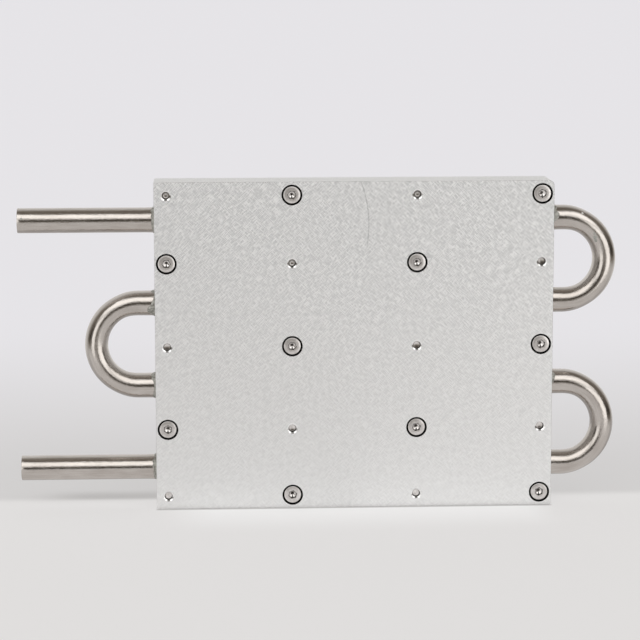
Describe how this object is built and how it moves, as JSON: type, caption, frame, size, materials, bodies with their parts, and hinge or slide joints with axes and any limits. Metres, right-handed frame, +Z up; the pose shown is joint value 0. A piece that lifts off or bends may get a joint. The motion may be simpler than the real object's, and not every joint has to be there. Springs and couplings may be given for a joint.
{
  "type": "liquid cold plate",
  "caption": "Tube-in-plate liquid cold plate: two bolted aluminium halves clamp a serpentine stainless tube with straight inlet and outlet stubs at one end.",
  "frame": {"origin": "middle of the front face, the large face that shows the first ten screw heads", "axes": "+X along the plate, away from the inlet and outlet stubs; +Y into the plate, from the front face to the back face; +Z up, with the plate standing on its lower long edge"},
  "size_m": [0.2401, 0.018, 0.132],
  "materials": {
    "plate_aluminium": "milled aluminium, finely scuffed in two crossing directions",
    "tube_stainless": "drawn and lightly polished along the tube",
    "screw_stainless": "cold-headed, satin"
  },
  "bodies": {
    "root": {"front_plate": "plate_aluminium", "back_plate": "plate_aluminium", "coolant_tube": "tube_stainless", "front_screw_01": "screw_stainless", "front_screw_02": "screw_stainless", "front_screw_03": "screw_stainless", "front_screw_04": "screw_stainless", "front_screw_05": "screw_stainless", "front_screw_06": "screw_stainless", "front_screw_07": "screw_stainless", "front_screw_08": "screw_stainless", "front_screw_09": "screw_stainless", "front_screw_10": "screw_stainless", "back_screw_01": "screw_stainless", "back_screw_02": "screw_stainless", "back_screw_03": "screw_stainless", "back_screw_04": "screw_stainless", "back_screw_05": "screw_stainless", "back_screw_06": "screw_stainless", "back_screw_07": "screw_stainless", "back_screw_08": "screw_stainless", "back_screw_09": "screw_stainless", "back_screw_10": "screw_stainless"}
  },
  "joints": []
}
